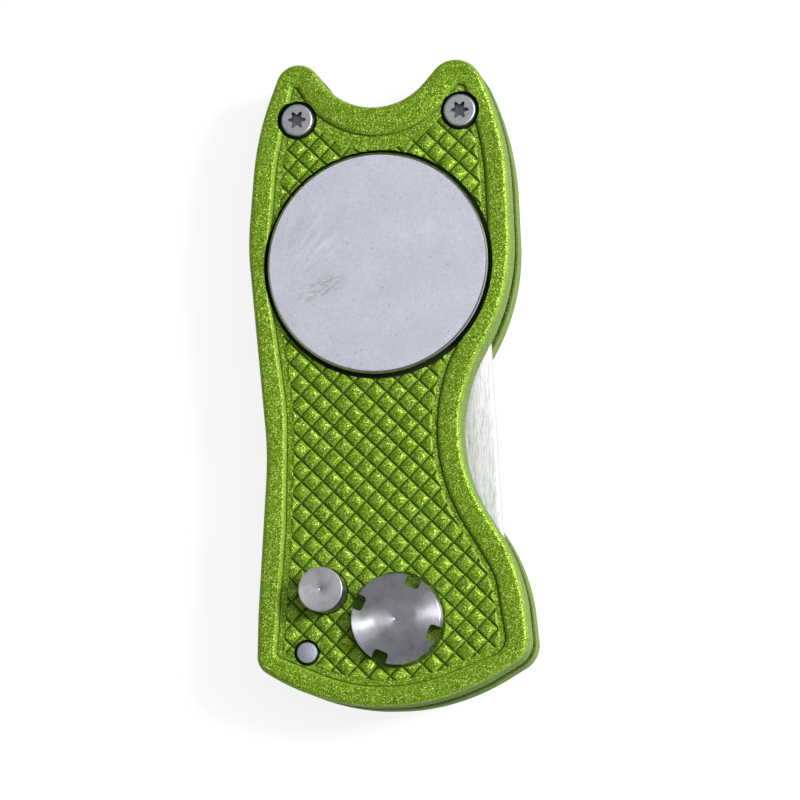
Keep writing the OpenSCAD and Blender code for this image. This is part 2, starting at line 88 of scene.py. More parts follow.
@dataclass(frozen=True)
class HandleSizes:
    """Sizes of the handle in millimetres, matching the solids in the frame."""

    half_length: float = 36.25
    half_width: float = 15.4
    waist_bite: float = 8.26
    waist_height: float = -9.0
    valley_depth: float = 10.4
    back_thickness: float = 3.4
    slot_gap: float = 2.0
    front_thickness: float = 4.0
    edge_radius: float = 0.5
    pad_drop: float = 0.35
    channel_drop: float = 0.52
    groove_drop: float = 0.74
    step_run: float = 0.28
    channel_width: float = 0.76
    knurl_pitch: float = 1.72
    knurl_shift: Pair = (-0.06, 0.06)
    foot_groove: float = 0.15
    cap_seat: float = 0.4
    screw_head_height: float = 1.4
    pivot_head_floor: float = 1.05

    @property
    def z_inner_front(self) -> float:
        """Height of the front scale's inner face."""
        return self.back_thickness + self.slot_gap

    @property
    def z_top(self) -> float:
        """Height of the front rim."""
        return self.z_inner_front + self.front_thickness

    @property
    def z_pad(self) -> float:
        """Height of the front knurl's tops."""
        return self.z_top - self.pad_drop

    def outline(self) -> np.ndarray:
        """Control corners of the outline, clockwise, as rows of x, y, radius."""
        w, t, b = self.half_width, self.half_length, self.waist_bite
        h = self.waist_height
        return np.array(
            [
                (-w + 5.2, t + 3.42, 2.55), (-1.97, t - self.valley_depth, 7.4),
                (w - 6.35, t + 2.4, 3.05), (w - 1.6, t - 8.4, 33), (w - 1.04, t - 26.6, 23.8),
                (w - b + 2.1, h + 9.6, 18), (w - b, h, 17.2), (w - 0.7, -t + 14.9, 19.9),
                (w + 0.2, -t + 5.5, 3.1), (-0.93, -t - 4.1, 24.6), (-w + 0.45, -t + 4.75, 2.2),
                (-w + 0.65, -t + 10.8, 40), (-w + 1.85, -7.7, 38), (-w - 0.2, t - 20.4, 30.6),
                (-w + 0.92, t - 7.9, 33),
            ]
        )

    def panel(self) -> np.ndarray:
        """Control corners of the sunk panel, clockwise, as rows of x, y, radius."""
        w, t, b = self.half_width, self.half_length, self.waist_bite
        h = self.waist_height
        return np.array(
            [
                (-w + 5.2, t - 1.4, 0.5), (-2.25, t - self.valley_depth - 5.7, 9.75),
                (w - 6.35, t - 2.0, 0.8), (w - 3.88, t - 10.3, 30), (w - 3.38, t - 25.2, 14),
                (w - b - 0.33, h + 10, 14.2), (w - b - 2.55, h - 0.3, 20), (w - 3.38, -t + 14.3, 7.5),
                (w - 2.12, -t + 5.9, 2.2), (-0.87, -t + 0.6, 19.4), (-w + 2.48, -t + 5.85, 0.8),
                (-w + 3.63, -t + 19.9, 40), (-w + 3.98, -3.4, 33), (-w + 1.89, t - 23.8, 25),
                (-w + 2.97, t - 11.1, 20),
            ]
        )


SIZES = HandleSizes()
EAR_SCREWS = ("ear_screw_left", "ear_screw_right")


def place_of(node: str) -> tuple[float, float, float, float]:
    """Where a round CAD node stands.

    Args:
        node: Name of the CAD node.

    Returns:
        Centre x, centre y, lowest z and highest z, in millimetres.
    """
    low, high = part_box(node)
    return (low[0] + high[0]) / 2 / MM, (low[1] + high[1]) / 2 / MM, low[2] / MM, high[2] / MM


# ---------------------------------------------------------------- outlines


def inset(corners: np.ndarray, distance: float) -> np.ndarray:
    """Moves every edge of a clockwise corner list inwards.

    Each corner goes to p + d * (n1 + n2) / (1 + n1.n2), with n1 and n2 the inward normals of its
    two edges; an outward corner loses d from its radius and an inward one gains it.

    Args:
        corners: Rows of x, y, radius, clockwise.
        distance: How far the edges move in, in millimetres.

    Returns:
        The moved corners, in the same form.
    """
    p = corners[:, :2]
    e1 = p - np.roll(p, 1, axis=0)
    e2 = np.roll(p, -1, axis=0) - p
    turn = e1[:, 0] * e2[:, 1] - e1[:, 1] * e2[:, 0]
    n1 = np.stack([e1[:, 1], -e1[:, 0]], axis=1) / np.linalg.norm(e1, axis=1)[:, None]
    n2 = np.stack([e2[:, 1], -e2[:, 0]], axis=1) / np.linalg.norm(e2, axis=1)[:, None]
    moved = p + distance * (n1 + n2) / (1 + np.sum(n1 * n2, axis=1))[:, None]
    radius = corners[:, 2] + np.where(turn < 0, -distance, distance)
    return np.column_stack([moved, np.maximum(radius, 0.05)])


def ring(corners: np.ndarray, steps: int) -> np.ndarray:
    """Points round a corner list, with each corner an arc.

    The arc's centre is p + (u + w) / |u + w| * r / sin(half), where u and w point along the two
    edges and half is half the angle between them; its points turn evenly round that centre.

    Args:
        corners: Rows of x, y, radius, clockwise.
        steps: Segments in each arc.

    Returns:
        Array of points (corners * (steps + 1), 2), clockwise.
    """
    p, r = corners[:, :2], corners[:, 2]
    u = np.roll(p, 1, axis=0) - p
    w = np.roll(p, -1, axis=0) - p
    turn = w[:, 0] * u[:, 1] - w[:, 1] * u[:, 0]
    u = u / np.linalg.norm(u, axis=1)[:, None]
    w = w / np.linalg.norm(w, axis=1)[:, None]
    half = np.arccos(np.clip(np.sum(u * w, axis=1), -1, 1)) / 2
    middle = (u + w) / np.linalg.norm(u + w, axis=1)[:, None]
    centre = p + middle * (r / np.sin(half))[:, None]
    start = p + u * (r / np.tan(half))[:, None] - centre
    first = np.arctan2(start[:, 1], start[:, 0])
    sweep = np.where(turn > 0, 1, -1) * (pi - 2 * half)
    angle = first[:, None] + sweep[:, None] * np.linspace(0, 1, steps + 1)[None, :]
    points = centre[:, None, :] + r[:, None, None] * np.stack([np.cos(angle), np.sin(angle)], axis=2)
    return points.reshape(-1, 2)


# ---------------------------------------------------------------- meshes


@dataclass
class Shape:
    """Points in millimetres and faces that index them."""

    points: np.ndarray
    faces: list[tuple[int, ...]]

    def flipped(self) -> "Shape":
        """The same shape with every face turned round."""
        return Shape(self.points, [tuple(reversed(f)) for f in self.faces])

    def moved(self, x: float, y: float, z: float = 0.0) -> "Shape":
        """The same shape moved by x, y, z."""
        return Shape(self.points + np.array([x, y, z]), self.faces)

    @staticmethod
    def together(shapes: Sequence["Shape"]) -> "Shape":
        """Several shapes as one, not merged."""
        points, faces, start = [], [], 0
        for shape in shapes:
            points.append(shape.points)
            faces += [tuple(i + start for i in f) for f in shape.faces]
            start += len(shape.points)
        return Shape(np.vstack(points), faces)


def skin(rings: np.ndarray, clockwise: bool = True) -> Shape:
    """Closed skin through a stack of rings with a flat cap at each end.

    Point (j, i) of the grid joins (j, i + 1), (j + 1, i + 1) and (j + 1, i), and the first and
    last rings are filled by one face each.

    Args:
        rings: Array (rings, points, 3), first ring lowest.
        clockwise: Whether the rings run clockwise seen from above.

    Returns:
        The closed shape, faces outwards.
    """
    m, n, _ = rings.shape
    j, i = np.meshgrid(np.arange(m - 1), np.arange(n), indexing="ij")
    i2 = (i + 1) % n
    quads = np.stack([j * n + i, (j + 1) * n + i, (j + 1) * n + i2, j * n + i2], axis=2).reshape(-1, 4)
    faces = [tuple(q) for q in quads.tolist()]
    faces.append(tuple(range(n)))
    faces.append(tuple(range(m * n - 1, (m - 1) * n - 1, -1)))
    shape = Shape(rings.reshape(-1, 3), faces)
    return shape if clockwise else shape.flipped()


def at_height(flat: np.ndarray, z: float) -> np.ndarray:
    """Flat points lifted to a height, as rows of x, y, z."""
    return np.column_stack([flat, np.full(len(flat), z)])


def prism(outline: np.ndarray, low: float, high: float) -> Shape:
    """Straight prism on a clockwise outline, from height low to height high."""
    return skin(np.array([at_height(outline, low), at_height(outline, high)]))


def lathe(profile: Sequence[Pair], segments: int = 96) -> Shape:
    """Turned shape round the Z axis.

    Point (j, i) is (r_j cos a_i, r_j sin a_i, z_j), with the angle a_i even round the circle.

    Args:
        profile: Pairs of radius and height from the lowest point on the axis to the highest.
        segments: Facets round the axis.

    Returns:
        The closed shape, faces outwards.
    """
    angle = -np.arange(segments) * 2 * pi / segments
    circle = np.stack([np.cos(angle), np.sin(angle)], axis=1)
    return skin(np.array([at_height(r * circle, z) for r, z in profile]))


def mesh_object(name: str, shape: Shape) -> Piece:
    """Puts a shape into a new object, in metres, smooth shaded between its sharp edges.

    Args:
        name: Name of the piece.
        shape: Points in millimetres and faces.

    Returns:
        The new object, linked to the scene.
    """
    mesh = bpy.data.meshes.new(name)
    mesh.from_pydata((shape.points * MM).tolist(), [], shape.faces)
    mesh.update()
    piece = bpy.data.objects.new(name, mesh)
    bpy.context.scene.collection.objects.link(piece)
    smooth(piece)
    return piece


def smooth(piece: Piece) -> None:
    """Smooth shading, with edges past SMOOTH_ANGLE kept sharp."""
    mesh = piece.data
    mesh.polygons.foreach_set("use_smooth", np.ones(len(mesh.polygons), dtype=bool))
    mesh.set_sharp_from_angle(angle=SMOOTH_ANGLE)
    mesh.update()


class Cut(Enum):
    """How two closed shapes are combined."""

    REMOVE = "DIFFERENCE"
    JOIN = "UNION"
    KEEP = "INTERSECT"


def combine(piece: Piece, shape: Shape, how: Cut) -> None:
    """Combines a piece with another closed shape, and keeps the result as its mesh.

    Args:
        piece: The object that changes.
        shape: The other shape, in millimetres.
        how: Whether it is removed, joined, or kept where both are.
    """
    tool = mesh_object("tool", shape)
    step = piece.modifiers.new("combine", "BOOLEAN")
    step.operation = how.value
    step.solver = "MANIFOLD"
    step.object = tool
    graph = bpy.context.evaluated_depsgraph_get()
    result = bpy.data.meshes.new_from_object(piece.evaluated_get(graph))
    piece.modifiers.clear()
    old, piece.data = piece.data, result
    result.name = piece.name
    bpy.data.meshes.remove(old)
    cutter = tool.data
    bpy.data.objects.remove(tool)
    bpy.data.meshes.remove(cutter)
    if not len(result.polygons):
        raise RuntimeError(f"{piece.name}: nothing left after {how.name}")
    smooth(piece)


def finish_piece(
    piece: Piece, body: str, materials: Sequence[Material], replaces: Sequence[str]
) -> None:
    """Dresses a piece, hangs it on its body and hides the CAD nodes that it stands for.

    Args:
        piece: The finished object.
        body: The CAD body that it rides on.
        materials: Its materials, in slot order.
        replaces: CAD nodes that it stands for.
    """
    piece.data.materials.clear()
    for material in materials:
        piece.data.materials.append(material)
    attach(piece, body)
    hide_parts(*replaces)
    LOG.info("%s: %d faces on %s", piece.name, len(piece.data.polygons), body)


# ---------------------------------------------------------------- finishes


class Bench:
    """Small helper that builds one node material."""

    def __init__(self, name: str) -> None:
        """Starts an empty material with a Principled shader."""
        self.material = bpy.data.materials.new(name)
        self.material.use_nodes = True
        self.tree = self.material.node_tree
        self.tree.nodes.clear()
        self.shader = self.tree.nodes.new("ShaderNodeBsdfPrincipled")
        out = self.tree.nodes.new("ShaderNodeOutputMaterial")
        self.put(out.inputs["Surface"], self.shader.outputs["BSDF"])

    def put(self, place: Socket, value: object) -> None:
        """Links an output to an input, or sets a constant on it."""
        if isinstance(value, Socket):
            self.tree.links.new(value, place)
        else:
            place.default_value = value

    def set(self, **values: object) -> None:
        """Puts outputs or constants on the shader; Base_Color stands for Base Color."""
        for key, value in values.items():
            self.put(self.shader.inputs[key.replace("_", " ")], value)

    def make(
        self, kind: str, output: str | int = 0, args: Sequence[object] = (), how: str = "", **inputs: object
    ) -> Socket:
        """Adds a node.

        Args:
            kind: The node's type, without ShaderNode.
            output: Name or number of the output.
            args: Values of its first inputs, in order.
            how: Its operation, where it has one.
            inputs: Values by name; From_Min stands for From Min.

        Returns:
            The chosen output.
        """
        made = self.tree.nodes.new(f"ShaderNode{kind}")
        if how:
            made.operation = how
        for place, value in zip(made.inputs, args):
            self.put(place, value)
        for key, value in inputs.items():
            self.put(made.inputs[key.replace("_", " ")], value)
        return made.outputs[output]

    def coords(self, scale: Triple = (1, 1, 1), centre: Triple = (0, 0, 0), turn: float = 0) -> Socket:
        """Object coordinates, moved to a centre, turned about Z and scaled.

        Args:
            scale: Factor along each axis, after the turn.
            centre: Point that becomes the origin, in metres.
            turn: Angle about Z in radians.

        Returns:
            The vector output.
        """
        where = self.make("TexCoord", "Object")
        where = self.make("Mapping", Vector=where, Location=tuple(-c for c in centre))
        where = self.make("Mapping", Vector=where, Rotation=(0, 0, turn))
        return self.make("Mapping", Vector=where, Scale=tuple(scale))

    def noise(self, vector: Socket, scale: float, detail: float = 2.0, rough: float = 0.5) -> Socket:
        """Grey noise at a scale, about 0.5 on average."""
        return self.make("TexNoise", "Fac", Vector=vector, Scale=scale, Detail=detail, Roughness=rough)

    def cells(self, vector: Socket, scale: float, output: str = "Color") -> Socket:
        """Random colour of each cell of a Voronoi pattern, or the distance to its point."""
        return self.make("TexVoronoi", output, Vector=vector, Scale=scale)

    def ramp(self, value: Socket, *stops: tuple[float, Sequence[float]]) -> Socket:
        """Colour ramp with the given stops of position and linear colour."""
        colour = self.make("ValToRGB", "Color", Fac=value)
        band = colour.node.color_ramp
        while len(band.elements) < len(stops):
            band.elements.new(0.5)
        for element, (position, tone) in zip(band.elements, stops):
            element.position = position
            element.color = (*tone, 1.0)
        return colour

    def span(self, value: Socket, low: float, high: float) -> Socket:
        """Maps 0 to 1 onto low to high."""
        return self.make("MapRange", "Result", Value=value, To_Min=low, To_Max=high)

    def fade(self, value: Socket, start: float, end: float) -> Socket:
        """Smooth 0 to 1 as a value goes from start to end."""
        up = 1.0 if start < end else 0.0
        limits = {"From_Min": min(start, end), "From_Max": max(start, end), "To_Min": 1.0 - up, "To_Max": up}
        made = self.make("MapRange", "Result", Value=value, **limits)
        made.node.interpolation_type = "SMOOTHSTEP"
        return made

    def math(self, how: str, a: Socket, b: Socket | float) -> Socket:
        """One Math node."""
        return self.make("Math", args=(a, b), how=how)

    def times(self, a: Socket, b: Socket | float) -> Socket:
        """Product of two numbers."""
        return self.math("MULTIPLY", a, b)

    def blend(self, a: Socket, share: float, b: Socket) -> Socket:
        """Weighted mean: share * a + (1 - share) * b."""
        return self.math("ADD", self.times(a, share), self.times(b, 1 - share))

    def vector(self, how: str, *args: Socket | Sequence[float]) -> Socket:
        """One Vector Math node."""
        return self.make("VectorMath", args=args, how=how)

    def length(self, *args: Socket | Sequence[float]) -> Socket:
        """Length of a vector, or the distance between two."""
        return self.make("VectorMath", "Value", args, "LENGTH" if len(args) == 1 else "DISTANCE")

    def part(self, source: Socket, name: str) -> Socket:
        """One part of a vector, X to Z, or of a colour, Red to Blue."""
        if name in "XYZ":
            return self.make("SeparateXYZ", name, Vector=source)
        return self.make("SeparateColor", name, Color=source)

    def normal(self) -> Socket:
        """The surface's normal."""
        return self.make("NewGeometry", "Normal")

    def bump(self, height: Socket, distance: float, strength: float, **normal: Socket) -> Socket:
        """Bump from a height that is 1 at distance metres."""
        return self.make("Bump", "Normal", Height=height, Distance=distance, Strength=strength, **normal)

    def mix(self, factor: Socket, *colours: Sequence[float] | Socket) -> Socket:
        """Mixes two colours, each a constant or an output."""
        made = self.tree.nodes.new("ShaderNodeMix")
        made.data_type = "RGBA"
        self.put(made.inputs["Factor"], factor)
        places = [s for s in made.inputs if s.type == "RGBA"]
        for place, value in zip(places, colours):
            self.put(place, value if isinstance(value, Socket) else (*value, 1.0))
        return next(s for s in made.outputs if s.type == "RGBA")


def toned(colour: Rgb, *factors: float) -> list[Rgb]:
    """A colour times each factor, held at 1."""
    return [tuple(min(1.0, c * f) for c in colour) for f in factors]


@dataclass(frozen=True)
class FlakePaint:
    """Metallic lime paint with coarse flakes under a soft gloss."""

    name: str = "lime_flake_paint"
    flake: float = 0.095
    dark: Rgb = (0.085, 0.165, 0.007)
    middle: Rgb = (0.178, 0.325, 0.013)
    bright: Rgb = (0.42, 0.60, 0.11)
    # Painted shade: darker copies of the paint for the steep side walls.
    wall_shade_dark: Rgb = (0.125, 0.190, 0.050)
    wall_shade_bright: Rgb = (0.255, 0.350, 0.115)
    # Near-black painted shade for the bottoms of the knurl's grooves.
    groove: Rgb = (0.020, 0.045, 0.003)
    sheen: Rgb = (0.90, 0.92, 0.55)
    tilt: float = 0.42
    metallic: float = 0.5
    # How strongly, and how high above the groove bottoms, the painted groove shade reaches.
    groove_shade: float = 0.8
    groove_shade_rise: float = 0.17

    def build(self) -> Material:
        """Random cells give each flake a tone and a tilt; steep walls take darker copies of the paint as
        painted shade, and groove bottoms fade towards near black as painted shade.
        """
        b = Bench(self.name)
        where = b.coords()
        flakes = b.cells(where, 1 / (self.flake * MM))
        value = b.blend(b.part(flakes, "Red"), 0.88, b.noise(where, 900))
        stops = (0.15, self.dark), (0.42, self.middle), (0.78, self.middle), (0.92, self.bright)
        colour = b.ramp(value, *stops)
        steep = b.math("ABSOLUTE", b.part(b.normal(), "Z"), 0.0)
        flatness = b.fade(steep, 0.10, 0.30)
        # Painted shade: the colour fades towards the groove colour near the bottoms of the knurl's grooves.
        middle = SIZES.z_top / 2 * MM
        height = b.math("ABSOLUTE", b.math("SUBTRACT", b.part(where, "Z"), middle), 0.0)
        bottom = middle - SIZES.groove_drop * MM
        low = b.fade(height, bottom + self.groove_shade_rise * MM, bottom + 0.01 * MM)
        colour = b.mix(b.times(low, self.groove_shade), colour, self.groove)
        # Painted shade on the side walls: steep faces take this darker ramp instead of the flake colours.
        shaded_wall_colour = b.ramp(value, (0.15, self.wall_shade_dark), (0.85, self.wall_shade_bright))
        tilted = b.vector("SUBTRACT", flakes, (0.5, 0.5, 0.5))
        tilted = b.make("VectorMath", args=(tilted,), how="SCALE", Scale=self.tilt)
        leaning = b.vector("NORMALIZE", b.vector("ADD", b.normal(), tilted))
        b.set(
            Base_Color=b.mix(flatness, shaded_wall_colour, colour),
            Metallic=b.times(b.fade(steep, 0.72, 0.97), self.metallic),
            Normal=b.bump(b.noise(where, 2600, 3.0), 0.02 * MM, 0.5, Normal=leaning),
            Roughness=b.span(b.part(flakes, "Green"), 0.30, 0.52),
            Specular_IOR_Level=b.span(flatness, 0.0, 0.45),
            Specular_Tint=(*self.sheen, 1.0),
        )
        return b.material


@dataclass(frozen=True)
class BrushedSteel:
    """Steel with fine lines along Y."""

    name: str
    colour: Rgb
    line: float
    length: float
    rough: Pair
    metallic: float
    depth: float = 0.004

    def build(self) -> Material:
        """Noise drawn out along Y makes the lines, in colour, roughness and height; the tangent is across."""
        b = Bench(self.name)
        across, along = 1 / (self.line * MM), 1 / (self.length * MM)
        lines = b.noise(b.coords((across, along, across)), 1.0, 3.0, 0.65)
        value = b.blend(lines, 0.8, b.noise(b.coords((across / 4, along / 2, across / 4)), 1.0))
        dark, pale = toned(self.colour, 0.45, 1.1)
        b.set(
            Base_Color=b.ramp(value, (0.34, dark), (0.50, self.colour), (0.66, pale)),
            Roughness=b.span(value, *self.rough),
            Normal=b.bump(lines, self.depth * MM, 0.6),
            Tangent=b.vector("NORMALIZE", b.vector("CROSS_PRODUCT", b.normal(), (0.0, 1.0, 0.0))),
            Metallic=self.metallic,
            Anisotropic=0.6,
        )
        return b.material


@dataclass(frozen=True)
class TurnedSteel:
    """Steel with fine rings round a vertical axis, as a lathe leaves it."""

    name: str
    colour: Rgb
    centre: Pair
    rough: Pair
    anisotropy: float
    dull: float = 2.2
    ring: float = 0.07
    depth: float = 0.003

    def build(self) -> Material:
        """Noise over the distance from the axis makes the rings; the tangent runs out from the axis."""
        b = Bench(self.name)
        where = b.coords((1, 1, 0), (self.centre[0] * MM, self.centre[1] * MM, 0))
        distance = b.length(where)
        rings = b.noise(b.make("CombineXYZ", X=distance), 1 / (self.ring * MM), 3.0, 0.7)
        value = b.blend(rings, 0.45, b.noise(b.coords(), 620, 4.0, 0.6))
        dark, pale = toned(self.colour, 0.66, 1.18)
        b.set(
            Base_Color=b.ramp(value, (0.38, dark), (0.50, self.colour), (0.64, pale)),
            Roughness=b.span(value, *self.rough),
            Tangent=b.vector("NORMALIZE", where),
            Normal=b.bump(rings, self.depth * MM, 0.5),
            Anisotropic=b.times(b.fade(distance, self.dull * 0.3 * MM, self.dull * MM), self.anisotropy),
            Metallic=1.0,
        )
        return b.material


@dataclass(frozen=True)
class SatinPlate:
    """Pale blue-grey satin face of the ball marker, with faint scuffs and a rubbed patch."""

    name: str = "marker_satin"
    colour: Rgb = (0.545, 0.56, 0.63)
    scuffed: Rgb = (0.68, 0.69, 0.74)
    rubbed: Rgb = (0.37, 0.325, 0.32)
    speck: Rgb = (0.24, 0.23, 0.26)
    centre: Pair = (-0.75, 13.2)
    slant: float = radians(-24)

    def at(self, x: float, y: float) -> Triple:
        """A point given from the marker's centre in millimetres, in metres."""
        return ((self.centre[0] + x) * MM, (self.centre[1] + y) * MM, 0.0)

    def build(self) -> Material:
        """Drawn-out noise masks the scuffs at the upper left, and a soft spot the rubbed patch."""
        b = Bench(self.name)
        where = b.coords()
        grain = b.noise(where, 3200, 3.0, 0.6)
        tone = b.blend(grain, 0.55, b.noise(where, 260, 3.0, 0.6))
        low, high, shaded = toned(self.colour, 0.89, 1.09, 0.72)
        colour = b.ramp(tone, (0.34, low), (0.64, high))
        fan = self.strokes(b, where)
        away = b.length(b.vector("MULTIPLY", where, (1.0, 1.0, 0.0)), self.at(-7.6, 2.6))
        mask = b.fade(away, 5.4 * MM, 0.0)
        light = b.times(mask, b.fade(fan, 0.50, 0.66))
        colour = b.mix(b.times(light, 0.75), colour, self.scuffed)
        shade = b.times(mask, b.fade(fan, 0.50, 0.34))
        colour = b.mix(b.times(shade, 0.40), colour, shaded)
        smear = b.noise(b.coords((900, 3600, 1), turn=self.slant), 1.0, 4.0, 0.65)
        oval = b.coords((1 / (4.0 * MM), 1 / (1.5 * MM), 0), self.at(-6.4, -2.7), self.slant)
        rub = b.times(b.fade(b.length(oval), 1.0, 0.35), b.fade(smear, 0.44, 0.62))
        colour = b.mix(b.times(rub, 0.85), colour, self.rubbed)
        dot = b.math("LESS_THAN", b.cells(where, 1500, "Distance"), 0.15)
        rare = b.times(dot, b.math("GREATER_THAN", b.part(b.cells(where, 1500), "Red"), 0.80))
        b.set(
            Base_Color=b.mix(b.times(rare, 0.55), colour, self.speck),
            Roughness=b.span(grain, 0.40, 0.56),
            Normal=b.bump(grain, 0.004 * MM, 0.5),
            Metallic=0.4,
        )
        return b.material

    def strokes(self, b: Bench, where: Socket) -> Socket:
        """Noise over the angle round a pivot and the distance from it, which fans out in strokes."""
        away = b.vector("SUBTRACT", where, self.at(-13.5, -5.0))
        angle = b.math("ARCTAN2", b.part(away, "Y"), b.part(away, "X"))
        packed = b.make("CombineXYZ", X=b.times(angle, 26.0), Y=b.times(b.length(away), 300.0))
        return b.noise(packed, 1.0, 3.0, 0.6)


@dataclass(frozen=True)
class PlainMetal:
    """Satin or polished metal with fine grain, for small parts."""

    name: str
    colour: Rgb
    rough: Pair = (0.28, 0.42)
    grain: float = 0.12
    depth: float = 0.004

    def build(self) -> Material:
        """Two noises give the grain and slow blotches."""
        b = Bench(self.name)
        where = b.coords()
        fine = b.noise(where, 1 / (self.grain * MM), 3.0, 0.6)
        value = b.blend(fine, 0.6, b.noise(where, 350))
        dark = toned(self.colour, 0.8)[0]
        b.set(
            Base_Color=b.ramp(value, (0.32, dark), (0.55, self.colour), (0.75, self.colour)),
            Roughness=b.span(value, *self.rough),
            Normal=b.bump(fine, self.depth * MM, 0.5),
            Metallic=1.0,
        )
        return b.material


# ---------------------------------------------------------------- scales


class Side(Enum):
    """Which scale, and which way its rim faces."""

    FRONT = 1
    BACK = -1


@dataclass
class Scale:
    """One painted scale: rounded rim, step, channel, knurled field and its bores."""

    side: Side
    thickness: float
    z_inner: float
    arc_steps: int = 20
    edge_steps: int = 6
    parting_chamfer: float = 0.16
    support: float = 0.04
    sizes: HandleSizes = SIZES

    def level(self, height: np.ndarray | float) -> np.ndarray | float:
        """Height over the inner face to height in the frame."""
        return self.z_inner + self.side.value * np.asarray(height)

    def shell(self) -> Shape:
        """Closed shell of the scale before its bores.

        The outline's ring moves in by d while it rises by h: d = r (1 - cos a), h = t - r + r sin a
        over the rounded edge. The flat rim then joins the panel's ring, which steps down a slope to
        a fine groove and the channel floor, and under the knurled field the floor drops to the
        bottom of its grooves.
        """
        s, t = self.sizes, self.thickness
        c, e, r = self.parting_chamfer, self.support, s.edge_radius
        angle = np.linspace(0, pi / 2, self.edge_steps + 1)
        outer = [(c, 0.0), (0.0, c), (0.0, c + e), (0.0, t - r - e)]
        outer += list(zip(r * (1 - np.cos(angle)), t - r + r * np.sin(angle)))
        outer.append((r + e, t))
        half, drop = s.step_run / 2, s.channel_drop
        floor, foot = t - drop, self.foot + 0.06
        step = [(-half - 0.14, t), (-half - 0.07, t - 0.012), (-half - 0.01, t - 0.045)]
        step += [(half - 0.10, t - 0.42 * drop), (half - 0.06, t - 0.52 * drop)]
        step += [(half, floor - s.foot_groove + 0.02), (half + 0.05, floor - s.foot_groove)]
        step += [(half + 0.13, floor), (half + 0.20, floor)]
        inmost = [(foot, floor), (foot + 0.04, floor - 0.01), (foot + 0.1, t - s.groove_drop)]
        parts = ((s.outline(), outer), (s.panel(), step), (self.field_corners(), inmost))
        rings = [self.lifted(corners, d, h) for corners, levels in parts for d, h in levels]
        return self.faced(skin(np.array(rings)))

    def lifted(self, corners: np.ndarray, move_in: float, height: float) -> np.ndarray:
        """Ring of a corner list moved in and lifted, kept inside the frame's box."""
        box = np.array(CAD_BOX)[:, :2] / MM
        flat = np.clip(ring(inset(corners, move_in), self.arc_steps), box[0], box[1])
        return at_height(flat, self.level(height))

    def faced(self, shape: Shape) -> Shape:
        """Turns the faces round when the scale is mirrored."""
        return shape if self.side is Side.FRONT else shape.flipped()

    @property
    def foot(self) -> float:
        """How far the foot of the knurled field lies inside the panel's ring."""
        return self.sizes.step_run / 2 + self.sizes.channel_width - 0.14

    def field_corners(self) -> np.ndarray:
        """The panel's corners, with the valley's radius eased so that a deep inset stays simple."""
        corners = self.sizes.panel()
        corners[1, 2] -= 1.2
        return corners

    def field_block(self) -> Shape:
        """Tapered block that holds the knurled field, inside the channel."""
        s, t, foot = self.sizes, self.thickness, self.foot
        levels = [(foot, t - s.groove_drop - 0.2), (foot, t - s.channel_drop)]
        levels += [(foot + 0.22, t - s.pad_drop), (foot + 0.30, t)]
        return self.faced(skin(np.array([self.lifted(self.field_corners(), d, h) for d, h in levels])))

    def pads(self) -> Shape:
        """All diamond pads of the field, each a small frustum with cut corners.

        Pad (i, j) is centred at a = i * pitch, b = j * pitch on axes turned by 45 degrees. Ring k has
        half side share_k * pitch / 2, so neighbours leave a V groove between them, and each corner is
        cut back by cut_k along both of its edges.
        """
        s, t = self.sizes, self.thickness
        pitch, top, floor = s.knurl_pitch, t - s.pad_drop, t - s.groove_drop
        halves = np.array([0.985, 0.97, 0.74, 0.69]) * pitch / 2
        cuts = np.array([0.05, 0.05, 0.13, 0.15])
        heights = np.array([floor - 0.1, floor + 0.01, top - 0.04, top])
        reach = int(np.ceil(1.5 * s.half_length / pitch))
        index = np.arange(-reach, reach + 1)
        ga, gb = np.meshgrid(index * pitch + s.knurl_shift[0], index * pitch + s.knurl_shift[1])
        x, y = (ga - gb).ravel() / np.sqrt(2), (ga + gb).ravel() / np.sqrt(2)
        near = (np.abs(x) < s.half_width) & (np.abs(y) < s.half_length)
        x, y = x[near], y[near]
        tips = np.array([(0, 1), (1, 0), (0, -1), (-1, 0)]) * np.sqrt(2)
        edges = np.stack([np.roll(tips, 1, axis=0) - tips, np.roll(tips, -1, axis=0) - tips], axis=1) / 2
        spots = halves[:, None, None, None] * tips[None, :, None, :] + cuts[:, None, None, None] * edges[None]
        spots = spots.reshape(4, 8, 2)
        points = np.zeros((len(x), 4, 8, 3))
        points[..., 0] = x[:, None, None] + spots[None, ..., 0]
        points[..., 1] = y[:, None, None] + spots[None, ..., 1]
        points[..., 2] = np.asarray(self.level(heights))[None, :, None]
        one = skin(np.zeros((4, 8, 3))).faces
        faces = [tuple(i + 32 * k for i in f) for k in range(len(x)) for f in one]
        return self.faced(Shape(points.reshape(-1, 3), faces))

    def build(self, name: str, bores: Sequence[Shape]) -> Piece:
        """Makes the scale.

        Args:
            name: Name of the piece.
            bores: Closed shapes to cut away.

        Returns:
            The finished object.
        """
        knurl = mesh_object("knurl", self.pads())
        combine(knurl, self.field_block(), Cut.KEEP)
        mesh = knurl.data
        flat = np.empty(len(mesh.vertices) * 3)
        mesh.vertices.foreach_get("co", flat)
        pads = Shape(flat.reshape(-1, 3) / MM, [tuple(p.vertices) for p in mesh.polygons])
        bpy.data.objects.remove(knurl)
        scale = mesh_object(name, self.shell())
        combine(scale, pads, Cut.JOIN)
        combine(scale, Shape.together(bores), Cut.REMOVE)
        return scale


def bore(node: str, radius: float, low: float, high: float, segments: int = 48) -> Shape:
    """Plain bore on a node's axis, from height low to height high."""
    return lathe([(radius, low), (radius, high)], segments).moved(*place_of(node)[:2])


def counterbore(node: str, radii: Pair, heights: Triple, segments: int = 64) -> Shape:
    """Bore on a node's axis with a wider upper part; heights are its low end, its step and its top."""
    (small, large), (low, step, high) = radii, heights
    profile = [(small, low), (small, step), (large, step), (large, high)]
    return lathe(profile, segments).moved(*place_of(node)[:2])


